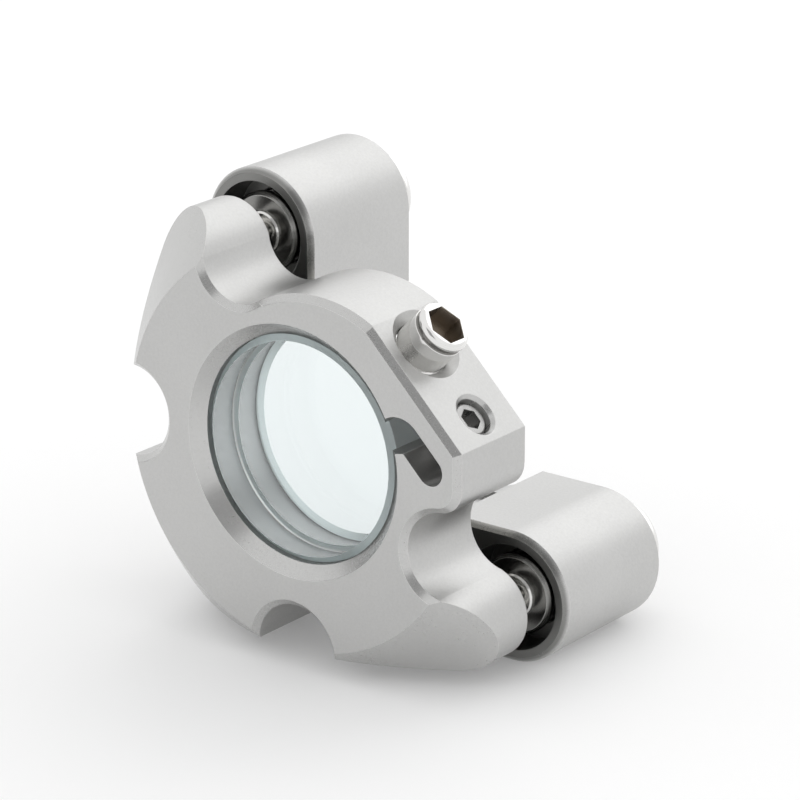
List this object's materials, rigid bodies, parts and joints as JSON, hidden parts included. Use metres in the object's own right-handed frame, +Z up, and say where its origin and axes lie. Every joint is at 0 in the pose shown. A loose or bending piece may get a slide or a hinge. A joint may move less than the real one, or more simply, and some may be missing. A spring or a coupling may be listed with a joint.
{
  "type": "kinematic mirror mount",
  "caption": "Adjustable optic mount: an L-shaped back plate, a spring-loaded front plate that tilts on balls under fine-pitch screws, and a clamped round mirror.",
  "frame": {"origin": "centre of the bounding box's underside, on the base face that the mount stands on", "axes": "+Z up, -Y the way the optic faces, +X to the right seen from the front"},
  "size_m": [0.0496, 0.0382, 0.0496],
  "materials": {
    "blasted_steel": "fine bead-blasted stainless steel with bright broken edges",
    "polished_steel": "polished",
    "hardened_steel": "ground",
    "spring_steel": "drawn wire",
    "dark_steel": "plain set screw steel",
    "nylon": "moulded",
    "optic_glass": "clear polished faces, finely ground bevels",
    "mirror_silver": "silvered layer, mirror bright through the glass"
  },
  "bodies": {
    "base": {"back_plate": "blasted_steel", "bushing_top": "hardened_steel", "bushing_apex": "hardened_steel", "bushing_side": "hardened_steel", "spring_upright_high": "spring_steel", "spring_upright_low": "spring_steel", "spring_foot_left": "spring_steel", "spring_foot_right": "spring_steel", "rear_pin_upright_high": "hardened_steel", "rear_pin_upright_low": "hardened_steel", "rear_pin_foot_left": "hardened_steel", "rear_pin_foot_right": "hardened_steel"},
    "apex_contact": {"contact_ball_apex": "polished_steel"},
    "side_contact": {"contact_ball_side": "polished_steel"},
    "front": {"front_plate": "blasted_steel", "glass_optic": "optic_glass", "mirror_coat": "mirror_silver", "contact_ball_top": "polished_steel", "flat_seat_top": "hardened_steel", "cone_seat_apex": "hardened_steel", "vee_seat_side": "hardened_steel", "front_pin_upright_high": "hardened_steel", "front_pin_upright_low": "hardened_steel", "front_pin_foot_left": "hardened_steel", "front_pin_foot_right": "hardened_steel", "optic_screw": "polished_steel", "optic_pad": "nylon", "flexure_screw": "dark_steel"},
    "top_collar": {"stop_collar_top": "hardened_steel"},
    "top_adjuster": {"adjuster_screw_top": "polished_steel"},
    "apex_collar": {"stop_collar_apex": "hardened_steel"},
    "apex_adjuster": {"adjuster_screw_apex": "polished_steel"},
    "side_collar": {"stop_collar_side": "hardened_steel"},
    "side_adjuster": {"adjuster_screw_side": "polished_steel"}
  },
  "joints": [
    {"name": "apex_advance", "type": "slide", "parent": "base", "child": "apex_collar", "axis": [0, -1, 0], "range_m": [-0.00178, 0.00089]},
    {"name": "apex_turn", "type": "hinge", "parent": "apex_collar", "child": "apex_adjuster", "pos_m": [-0.0173, -0.0057, 0.0075], "axis": [0, -1, 0], "range_deg": [-2520, 1260]},
    {"name": "side_advance", "type": "slide", "parent": "base", "child": "side_collar", "axis": [0, -1, 0], "range_m": [-0.00178, 0.00089]},
    {"name": "side_turn", "type": "hinge", "parent": "side_collar", "child": "side_adjuster", "pos_m": [0.0173, -0.0057, 0.0075], "axis": [0, -1, 0], "range_deg": [-2520, 1260]},
    {"name": "top_advance", "type": "slide", "parent": "base", "child": "top_collar", "axis": [0, -1, 0], "range_m": [-0.00178, 0.00089]},
    {"name": "top_turn", "type": "hinge", "parent": "top_collar", "child": "top_adjuster", "pos_m": [-0.0173, -0.0057, 0.0421], "axis": [0, -1, 0], "range_deg": [-2520, 1260]},
    {"name": "focus_tilt", "type": "hinge", "parent": "base", "child": "apex_contact", "pos_m": [0, -0.0057, 0.0248], "axis": [-0.7071, 0, 0.7071], "range_deg": [-4.17, 2.09], "deforming": ["spring_upright_low", "spring_foot_left"]},
    {"name": "yaw_tilt", "type": "hinge", "parent": "apex_contact", "child": "side_contact", "pos_m": [-0.0173, -0.0057, 0.0075], "axis": [0, 0, -1], "range_deg": [-2.95, 1.48], "deforming": ["spring_foot_right"]},
    {"name": "pitch_tilt", "type": "hinge", "parent": "side_contact", "child": "front", "pos_m": [-0.0173, -0.0057, 0.0075], "axis": [1, 0, 0], "range_deg": [-2.95, 1.48], "deforming": ["spring_upright_high"]}
  ],
  "couplings": [
    {"joint": "apex_turn", "follows": "apex_advance", "rad_per_m": 24737},
    {"joint": "focus_tilt", "follows": "apex_advance", "rad_per_m": 40.873},
    {"joint": "side_turn", "follows": "side_advance", "rad_per_m": 24737},
    {"joint": "yaw_tilt", "follows": "side_advance", "rad_per_m": 28.902},
    {"joint": "top_turn", "follows": "top_advance", "rad_per_m": 24737},
    {"joint": "pitch_tilt", "follows": "top_advance", "rad_per_m": 28.902}
  ]
}
